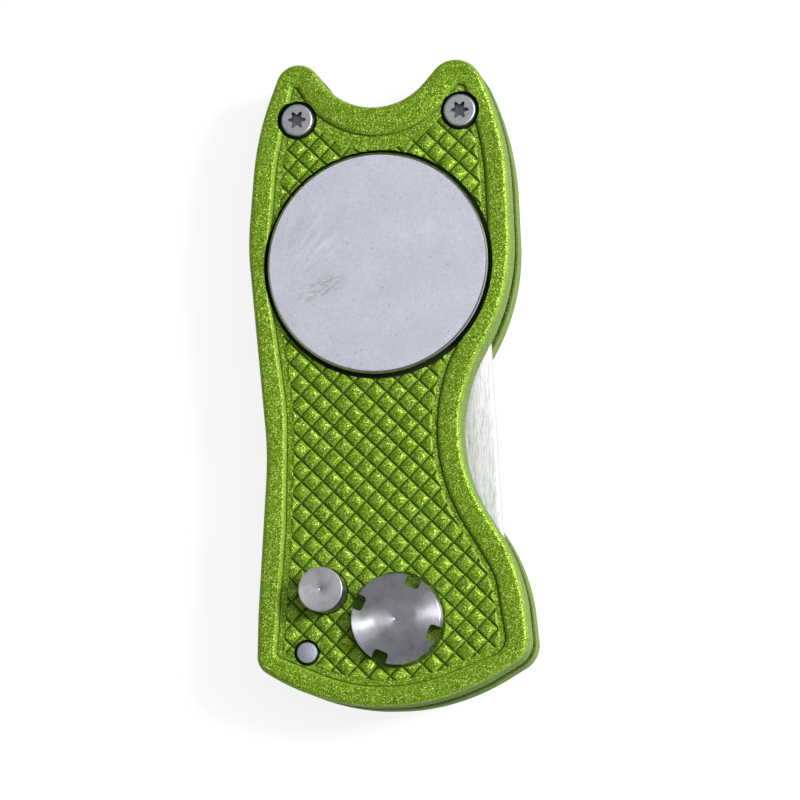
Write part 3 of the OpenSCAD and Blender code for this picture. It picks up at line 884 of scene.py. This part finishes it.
@dataclass
class Handle:
    """The two scales with their bores; every bore size is a radius or a depth."""

    marker: float = 12.95
    marker_gap: float = 0.05
    magnet: float = 5.05
    post: float = 2.22
    cap: float = 5.3
    cap_rim: float = 0.12
    button: float = 2.555
    button_mouth: Pair = (2.66, 0.1)
    pin: float = 1.17
    pin_mouth: Pair = (1.45, 0.9)
    shank: float = 1.05
    thread: float = 1.01
    head: float = 2.225
    pivot_head: float = 3.35
    pivot_rim: Pair = (0.35, 0.1)
    collar: float = 3.62
    collar_floor: float = 1.63
    blind: float = 0.1
    paint: FlakePaint = FlakePaint()

    def build(self) -> None:
        """Makes both scales and dresses them."""
        green = self.paint.build()
        # Near-black painted shade for the walls of the marker recess, the stop pin's mouth and the ear
        # screws' counterbores.
        bore_shade = PlainMetal("bore_painted_shade", (0.045, 0.055, 0.032), (0.5, 0.65), 0.08, 0.006).build()
        front = Scale(Side.FRONT, SIZES.front_thickness, SIZES.z_inner_front)
        piece = front.build("front_shell", self.front_bores())
        finish_piece(piece, "handle", [green, bore_shade], ["front_scale"])
        # Bores whose walls take the painted shade, with their radii.
        dark = {
            "ball_marker": self.marker,
            "stop_pin": self.pin_mouth[0],
            "ear_screw_left": self.head,
            "ear_screw_right": self.head,
        }
        shade_bores(piece, dark, (SIZES.z_inner_front, SIZES.z_pad - 0.02))
        back = Scale(Side.BACK, SIZES.back_thickness, SIZES.back_thickness)
        piece = back.build("back_shell", self.back_bores())
        finish_piece(piece, "handle", [green], ["back_scale"])

    def front_bores(self) -> list[Shape]:
        """Marker recess with magnet pocket, cap pocket, button hole, pin hole and counterbores."""
        low, top, pad = SIZES.z_inner_front - 1, SIZES.z_top + 1, SIZES.z_pad
        floor = place_of("ball_marker")[2] - self.marker_gap
        recess = (place_of("marker_magnet")[2], floor, top)
        seat, rim = pad - SIZES.cap_seat, self.cap_rim
        cap = [(self.post, low), (self.post, seat), (self.cap, seat), (self.cap, pad - rim)]
        cap += [(self.cap + rim, pad), (self.cap + rim, top)]
        mouth, depth = self.button_mouth
        button = [(self.button, low), (self.button, pad - depth), (mouth, pad), (mouth, top)]
        bores = [
            counterbore("ball_marker", (self.magnet, self.marker), recess, 160),
            lathe(cap, 128).moved(*place_of("pivot_cap")[:2]),
            lathe(button).moved(*place_of("release_button")[:2]),
            counterbore("stop_pin", (self.pin, self.pin_mouth[0]), (low, pad - self.pin_mouth[1], top)),
        ]
        for node in EAR_SCREWS:
            seat = place_of(node)[3] - SIZES.screw_head_height
            bores.append(counterbore(node, (self.shank, self.head), (low, seat, top)))
        return bores

    def back_bores(self) -> list[Shape]:
        """Pivot bore and counterbore, collar pocket, and blind holes."""
        top = SIZES.back_thickness + 1
        head, floor = self.pivot_head, SIZES.pivot_head_floor
        start, rim = self.pivot_rim
        pivot = [(head + rim, -1), (head + rim, start), (head, start + rim), (head, floor)]
        pivot += [(self.post, floor), (self.post, top)]
        bores = [
            lathe(pivot).moved(*place_of("pivot_cap")[:2]),
            bore("release_button", self.collar, self.collar_floor, top, 96),
            bore("stop_pin", self.pin, place_of("stop_pin")[2] - self.blind, top),
        ]
        bores += [bore(node, self.thread, place_of(node)[2] - self.blind, top) for node in EAR_SCREWS]
        return bores


# ---------------------------------------------------------------- fork


@dataclass
class Fork:
    """Two-tined fork plate with its tang, edges eased all round."""

    left: float = 4.2
    right: float = 11.5
    taper: float = 2.4
    crotch: float = 25.0
    crotch_radius: float = 3.2
    root: float = 3.4
    tip: float = 1.8
    shoulder: float = 4.58
    heel: float = 8.6
    tip_gap: float = 9.8
    land: float = 5.17
    post: float = 2.25
    ease: float = 0.18
    steel: BrushedSteel = BrushedSteel("fork_steel", (0.59, 0.59, 0.60), 0.055, 1.2, (0.42, 0.56), 0.55)

    def corners(self, pivot_y: float) -> np.ndarray:
        """Control corners of the plate about the pivot, clockwise."""
        reach = SIZES.half_length - self.tip_gap - pivot_y
        at = self.taper * (self.crotch - self.shoulder) / (reach - self.shoulder)
        soft = self.tip * 0.45
        return np.array(
            [
                (-self.left, 0.4, 0.05), (-self.left, self.shoulder, 6),
                (-self.left + self.taper, reach, soft), (-self.left + self.taper + self.tip, reach, soft),
                (-self.left + at + self.root, self.crotch, self.crotch_radius),
                (self.right - at - self.root, self.crotch, self.crotch_radius),
                (self.right - self.taper - self.tip, reach, soft), (self.right - self.taper, reach, soft),
                (self.right, self.shoulder, 1.2), (self.heel, self.shoulder, 0.5),
                (self.heel, 0.6, 0.7), (self.left, 0.4, 0.05),
            ]
        )

    def build(self) -> None:
        """Eased plate and tang joined, pivot bore cut; the ease is a quarter circle of 3 chords."""
        px, py, _, _ = place_of("pivot_cap")
        _, _, low, high = place_of("fork_blade")
        e, r = self.ease, self.post
        a = np.linspace(0, pi / 2, 4)
        section = [(e * (1 - sin(v)), low + e * (1 - cos(v))) for v in a]
        section += [(e * (1 - cos(v)), high - e + e * sin(v)) for v in a]
        rings = [at_height(ring(inset(self.corners(py), d), 8), z) for d, z in section]
        piece = mesh_object("fork", skin(np.array(rings)).moved(px, py))
        combine(piece, lathe([(self.land - d, z) for d, z in section]).moved(px, py), Cut.JOIN)
        hole = [(r + 0.15, low - 1), (r + 0.15, low), (r, low + 0.15)]
        hole += [(r, high - 0.15), (r + 0.15, high), (r + 0.15, high + 1)]
        combine(piece, lathe(hole, 64).moved(px, py), Cut.REMOVE)
        finish_piece(piece, "fork", [self.steel.build()], ["fork_blade"])


# ---------------------------------------------------------------- round parts


def star_prism(outer: float, inner: float, low: float, high: float) -> Shape:
    """Six-lobe socket: radius = inner + (outer - inner) * (0.5 + 0.5 cos 6a) ^ 1.25."""
    angle = -np.arange(144) * 2 * pi / 144
    radius = inner + (outer - inner) * (0.5 + 0.5 * np.cos(6 * angle)) ** 1.25
    return prism(np.stack([radius * np.cos(angle), radius * np.sin(angle)], axis=1), low, high)


def face_table(piece: Piece) -> tuple[np.ndarray, np.ndarray]:
    """Middles, in millimetres, and normals of a piece's faces."""
    mesh = piece.data
    middle, normal = np.empty(len(mesh.polygons) * 3), np.empty(len(mesh.polygons) * 3)
    mesh.polygons.foreach_get("center", middle)
    mesh.polygons.foreach_get("normal", normal)
    return middle.reshape(-1, 3) / MM, normal.reshape(-1, 3)


def shade(piece: Piece, chosen: np.ndarray) -> None:
    """Gives the second material to the chosen faces."""
    piece.data.polygons.foreach_set("material_index", chosen.astype(np.int32))


def shade_wall(piece: Piece, centre: Pair, reach: float, below: float) -> None:
    """Gives the second material, the darker painted shade, to the faces outside a radius and under a height,
    in millimetres.
    """
    middle, _ = face_table(piece)
    away = np.linalg.norm(middle[:, :2] - np.array(centre), axis=1)
    shade(piece, (away > reach) & (middle[:, 2] < below))


def shade_bores(piece: Piece, bores: dict[str, float], band: Pair) -> None:
    """Gives the second material, a near-black painted shade, to the walls of bores.

    Args:
        piece: The scale.
        bores: Radius of the bore round each named node, in millimetres.
        band: The walls' middles lie between these heights, in millimetres.
    """
    middle, normal = face_table(piece)
    inside = (middle[:, 2] > band[0]) & (middle[:, 2] < band[1])
    near = np.zeros(len(middle), dtype=bool)
    for node, radius in bores.items():
        near |= np.linalg.norm(middle[:, :2] - np.array(place_of(node)[:2]), axis=1) < radius + 0.02
    wall = (np.abs(normal[:, 2]) < 0.3) | (middle[:, 2] < band[1] - 0.5)
    shade(piece, inside & near & wall)


def shade_socket(piece: Piece, centre: Pair, reach: float, below: float) -> None:
    """Gives the second material, a darker painted shade, to the faces of a socket.

    Args:
        piece: The screw.
        centre: Its axis, in millimetres.
        reach: Radius that holds the whole socket, in millimetres.
        below: The socket's faces have their middle under this height, in millimetres.
    """
    middle, normal = face_table(piece)
    away = middle[:, :2] - np.array(centre)
    inwards = np.sum(away * normal[:, :2], axis=1) < 0
    inside = (np.linalg.norm(away, axis=1) < reach) & (middle[:, 2] < below)
    shade(piece, inside & (inwards | (normal[:, 2] > 0.9)))


@dataclass
class BallMarker:
    """Loose round plate with a polished edge and a satin face."""

    chamfer: float = 0.25
    segments: int = 192
    face: SatinPlate = SatinPlate()
    edge: PlainMetal = PlainMetal("marker_edge", (0.42, 0.42, 0.45), (0.12, 0.22), 0.08, 0.002)

    def build(self) -> None:
        """Turned plate; the faces of its edge take the polished finish."""
        x, y, low, high = place_of("ball_marker")
        r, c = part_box("ball_marker")[1][0] / MM - x, self.chamfer
        profile = [(r - c - 0.1, low), (r - c, low + 0.01), (r - 0.03, low + c - 0.03)]
        profile += [(r, low + c + 0.05), (r, high - c - 0.05)]
        profile += [(r - 0.03, high - c + 0.03), (r - c, high - 0.01)]
        profile += [(r - c - 0.05, high), (r - c - 0.15, high)]
        piece = mesh_object("marker_plate", lathe(profile, self.segments).moved(x, y))
        finishes = [self.face.build(), self.edge.build()]
        finish_piece(piece, "marker", finishes, ["ball_marker"])
        edge_rings = len(profile) - 2
        shade(piece, np.arange(len(piece.data.polygons)) < self.segments * edge_rings)


@dataclass
class PivotCap:
    """Notched pivot cap with its post."""

    radius: float = 5.0
    post: float = 2.2
    notch: float = 1.7
    notch_depth: float = 1.15
    notch_corner: float = 0.4
    first_notch: float = 63.5
    notch_step: float = 91.5

    def build(self) -> None:
        """Turned head and post, with four notches cut through the head."""
        x, y, low, high = place_of("pivot_cap")
        r, post, seat = self.radius, self.post, SIZES.z_pad - SIZES.cap_seat
        profile = [(post - 0.2, low), (post, low + 0.2), (post, seat), (r, seat), (r, high - 0.14)]
        profile += [(r - 0.03, high - 0.05), (r - 0.11, high), (r - 0.18, high)]
        profile += [(0.22, high), (0.13, high - 0.03), (0.04, high - 0.06)]
        piece = mesh_object("pivot_head", lathe(profile, 160).moved(x, y))
        combine(piece, Shape.together(self.notches(seat - 0.1, high + 1)).moved(x, y), Cut.REMOVE)
        steel = TurnedSteel("pivot_turned_steel", (0.56, 0.56, 0.60), (x, y), (0.25, 0.31), 0.97, 2.7)
        finish_piece(piece, "handle", [steel.build()], ["pivot_cap"])

    def notches(self, low: float, high: float) -> list[Shape]:
        """Four slots, each with a flat inner end and rounded corners."""
        half, corner, past = self.notch / 2, self.notch_corner, self.radius + 1
        centre = self.radius - self.notch_depth + corner
        turn = np.linspace(pi / 2, pi, 9)
        bend = np.stack([centre + corner * np.cos(turn), half - corner + corner * np.sin(turn)], axis=1)
        mirrored = bend[::-1] * np.array([1, -1])
        local = np.concatenate([bend, mirrored, np.array([(past, -half), (past, half)])])[::-1]
        shapes = []
        for k in range(4):
            a = radians(self.first_notch + self.notch_step * k)
            shapes.append(prism(local @ np.array([[cos(a), sin(a)], [-sin(a), cos(a)]]), low, high))
        return shapes


@dataclass
class ReleaseButton:
    """Round button with a fine turned face, its stem and its locking collar."""

    radius: float = 2.475
    collar: float = 3.5
    collar_gap: float = 0.08
    spring_bore: float = 1.7
    roof: float = 0.6
    # Darker steel for the button's side wall: painted shade, and a painted reflection of the dark
    # surroundings.
    side: PlainMetal = PlainMetal("button_side_painted_shade", (0.24, 0.24, 0.25), (0.4, 0.5), 0.08)

    def build(self) -> None:
        """Turned from one profile, with the spring bore open below."""
        x, y, low, high = place_of("release_button")
        r, collar, shoulder = self.radius, self.collar, SIZES.z_inner_front - self.collar_gap
        profile = [(collar - 0.15, low), (collar, low + 0.15), (collar, shoulder), (r, shoulder)]
        profile += [(r, high - 0.16), (r - 0.03, high - 0.06), (r - 0.10, high), (r - 0.15, high)]
        profile += [(0.22, high), (0.12, high - 0.03), (0.04, high - 0.08)]
        piece = mesh_object("button", lathe(profile, 128).moved(x, y))
        hole = bore("release_button", self.spring_bore, low - 1, SIZES.z_pad - self.roof, 64)
        combine(piece, hole, Cut.REMOVE)
        steel = TurnedSteel("button_turned_steel", (0.52, 0.52, 0.54), (x, y), (0.48, 0.58), 0.25, ring=0.05)
        finishes = [steel.build(), self.side.build()]
        finish_piece(piece, "button", finishes, ["release_button"])
        # The side wall under the top edge takes the darker painted-shade material.
        shade_wall(piece, (x, y), r - 0.02, high - 0.15)


@dataclass
class ButtonCoil:
    """Coil spring under the button."""

    turns: int = 7
    steps: int = 24
    sides: int = 12
    wire: float = 0.175
    travel: float = 1.75
    steel: PlainMetal = PlainMetal("coil_wire", (0.60, 0.60, 0.62), (0.2, 0.34), 0.06)

    def build(self) -> None:
        """Sweeps a round wire along a helix: ring k lies round (r cos a, r sin a, z0 + k dz)."""
        x, y, low, high = place_of("button_spring")
        radius = (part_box("button_spring")[1][0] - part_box("button_spring")[0][0]) / MM / 2 - self.wire
        count = self.turns * self.steps + 1
        angle = np.linspace(0, self.turns * 2 * pi, count)
        out = np.stack([np.cos(angle), np.sin(angle), np.zeros(count)], axis=1)
        centre = radius * out
        centre[:, 2] = np.linspace(low + self.wire, high - self.wire, count)
        turn = -np.arange(self.sides) * 2 * pi / self.sides
        flat, upright = np.cos(turn)[None, :, None], np.sin(turn)[None, :, None]
        wire = flat * out[:, None, :] + upright * np.array([0.0, 0.0, 1.0])
        rings = centre[:, None, :] + self.wire * wire
        piece = mesh_object("button_coil", skin(rings, clockwise=False).moved(x, y))
        finish_piece(piece, "handle", [self.steel.build()], ["button_spring"])
        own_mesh(piece)


@dataclass
class Fasteners:
    """Ear screws, pivot screw and stop pin."""

    head: float = 1.85
    shank: float = 1.0
    socket: Pair = (1.04, 0.62)
    pivot_head: float = 3.1
    pivot_shank: float = 1.23
    pivot_socket: Pair = (1.35, 0.86)
    pin: float = 1.15
    steel: PlainMetal = PlainMetal("screw_steel", (0.66, 0.67, 0.69), (0.30, 0.46), 0.10)
    # Darker steel for the inside of the six-lobe sockets: painted shade.
    socket_shade: PlainMetal = PlainMetal("socket_painted_shade", (0.24, 0.235, 0.245), (0.35, 0.5), 0.09, 0.01)
    grainy: PlainMetal = PlainMetal("pin_grain", (0.50, 0.52, 0.58), (0.45, 0.62), 0.22, 0.03)

    def build(self) -> None:
        """Makes and dresses each one."""
        steel, dark = self.steel.build(), self.socket_shade.build()
        for side, node in zip(("left", "right"), EAR_SCREWS):
            self.ear_screw(f"ear_screw_head_{side}", node, steel, dark)
        self.pivot_screw(steel)
        self.stop_pin()

    def ear_screw(self, name: str, node: str, steel: Material, dark: Material) -> None:
        """Cheese head with a crowned edge and a six-lobe socket."""
        x, y, low, high = place_of(node)
        head, shank, seat = self.head, self.shank, high - SIZES.screw_head_height
        profile = [(shank - 0.2, low), (shank, low + 0.2), (shank, seat), (head, seat)]
        profile += [(head, high - 0.3), (head - 0.04, high - 0.14), (head - 0.12, high - 0.04)]
        profile += [(head - 0.24, high), (head - 0.32, high)]
        piece = mesh_object(name, lathe(profile).moved(x, y))
        combine(piece, star_prism(*self.socket, high - 1.0, high + 1).moved(x, y), Cut.REMOVE)
        finish_piece(piece, "handle", [steel, dark], [node])
        # The socket's inner faces take the darker painted-shade material.
        shade_socket(piece, (x, y), self.socket[0] + 0.04, high - 0.03)

    def pivot_screw(self, steel: Material) -> None:
        """Flat head on the back with a six-lobe socket."""
        x, y, low, high = place_of("pivot_screw")
        head, shank, seat = self.pivot_head, self.pivot_shank, SIZES.pivot_head_floor
        profile = [(head - 0.35, low), (head - 0.15, low + 0.05), (head - 0.03, low + 0.18)]
        profile += [(head, low + 0.3), (head, seat), (shank, seat)]
        profile += [(shank, high - 0.2), (shank - 0.2, high)]
        piece = mesh_object("pivot_screw_head", lathe(profile, 128).moved(x, y))
        combine(piece, star_prism(*self.pivot_socket, low - 1, low + 0.7).moved(x, y), Cut.REMOVE)
        finish_piece(piece, "handle", [steel], ["pivot_screw"])

    def stop_pin(self) -> None:
        """Plain pin with an eased, grainy end."""
        x, y, low, high = place_of("stop_pin")
        r = self.pin
        profile = [(r - 0.2, low), (r, low + 0.2), (r, high - 0.12)]
        profile += [(r - 0.05, high - 0.03), (r - 0.17, high)]
        piece = mesh_object("stop_pin_end", lathe(profile, 64).moved(x, y))
        finish_piece(piece, "handle", [self.grainy.build()], ["stop_pin"])


@dataclass
class HiddenParts:
    """CAD nodes that stay as they are and get a finish."""

    bright: PlainMetal = PlainMetal("standoff_steel", (0.62, 0.63, 0.65), (0.25, 0.4))
    wire: PlainMetal = PlainMetal("spring_wire", (0.60, 0.60, 0.62), (0.2, 0.34), 0.06)
    bronze: PlainMetal = PlainMetal("washer_bronze", (0.62, 0.44, 0.2), (0.3, 0.45))
    dark: PlainMetal = PlainMetal("spacer_anodised", (0.10, 0.105, 0.11), (0.38, 0.5), 0.09, 0.006)
    nickel: PlainMetal = PlainMetal("magnet_nickel", (0.7, 0.69, 0.66), (0.15, 0.28))

    def build(self) -> None:
        """Assigns a finish to each carried-over node."""
        rods = ("spine_dowel_upper", "spine_dowel_lower", "ear_standoff_left", "ear_standoff_right")
        dressed = {
            self.dark: ("spine_spacer",),
            self.bright: rods,
            self.bronze: ("pivot_washer_front", "pivot_washer_back"),
            self.wire: ("drive_spring",),
            self.nickel: ("marker_magnet",),
        }
        for finish, names in dressed.items():
            material = finish.build()
            for name in names:
                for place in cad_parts[name].material_slots:
                    place.material = material
                LOG.info("%s: dressed", name)


# ---------------------------------------------------------------- studio


@dataclass
class Studio:
    """Pale floor, soft lights and the camera."""

    aim: Triple = (1.5, -2.25, 9.05)
    towards: Triple = (0.1722, -0.1478, 0.9739)
    up: Triple = (0.039, 0.989, 0.143)
    distance: float = 450.0
    lens: float = 182.7
    floor_half: float = 3000.0
    floor_drop: float = 0.02
    floor_glow: float = 0.84
    sky: Rgb = (0.95, 0.97, 1.0)
    sky_strength: float = 0.30

    def build(self) -> None:
        """Makes the floor, the lights, the world and the camera."""
        self.floor()
        self.camera()
        self.light("key", (0.44, 0.11, 0.39), 0.15, 4.3)
        self.light("top", (0.24, 0.09, 0.56), 0.30, 0.7)
        world = bpy.data.worlds.new("studio")
        bpy.context.scene.world = world
        world.use_nodes = True
        background = world.node_tree.nodes["Background"]
        background.inputs["Color"].default_value = (*self.sky, 1.0)
        background.inputs["Strength"].default_value = self.sky_strength

    def floor(self) -> None:
        """Wide flat sheet just under the tool."""
        corners = np.array([(-1, -1), (1, -1), (1, 1), (-1, 1)]) * self.floor_half
        piece = mesh_object("floor", Shape(at_height(corners, -self.floor_drop), [(0, 1, 2, 3)]))
        b = Bench("floor_white")
        grain = b.noise(b.coords(), 40)
        b.set(
            Base_Color=b.ramp(grain, (0.3, (0.21, 0.21, 0.21)), (0.7, (0.22, 0.22, 0.22))),
            Roughness=0.9,
            Specular_IOR_Level=0.0,
            Emission_Color=(1.0, 1.0, 1.0, 1.0),
            Emission_Strength=self.floor_glow,
        )
        piece.data.materials.append(b.material)

    def camera(self) -> None:
        """Camera on the line of sight, looking at the aim point."""
        data = bpy.data.cameras.new("camera")
        data.lens = self.lens
        data.sensor_width = 36.0
        data.clip_start = 0.01
        data.clip_end = 100.0
        piece = bpy.data.objects.new("camera", data)
        bpy.context.scene.collection.objects.link(piece)
        back = Vector(self.towards).normalized()
        right = Vector(self.up).cross(back).normalized()
        up = back.cross(right)
        spot = (Vector(self.aim) + back * self.distance) * MM
        turn = Matrix((right, up, back)).transposed().to_4x4()
        piece.matrix_world = Matrix.Translation(spot) @ turn
        bpy.context.scene.camera = piece

    @staticmethod
    def light(name: str, spot: Triple, size: float, power: float) -> None:
        """Square area light aimed at the tool.

        Args:
            name: Name of the light.
            spot: Where it stands, in metres.
            size: Side of the square, in metres.
            power: Power in watts.
        """
        data = bpy.data.lights.new(name, "AREA")
        data.size = size
        data.energy = power
        piece = bpy.data.objects.new(name, data)
        bpy.context.scene.collection.objects.link(piece)
        piece.location = spot
        piece.rotation_euler = (-Vector(spot)).to_track_quat("-Z", "Y").to_euler()


def main() -> None:
    logging.basicConfig(level=logging.INFO, format="%(name)s: %(message)s")
    parts = (Handle, Fork, BallMarker, PivotCap, ReleaseButton, ButtonCoil, Fasteners, HiddenParts)
    for part in (*parts, Studio):
        part().build()
    bpy.context.scene.view_settings.view_transform = "Standard"
    bpy.context.view_layer.update()


if __name__ == "__main__":
    main()
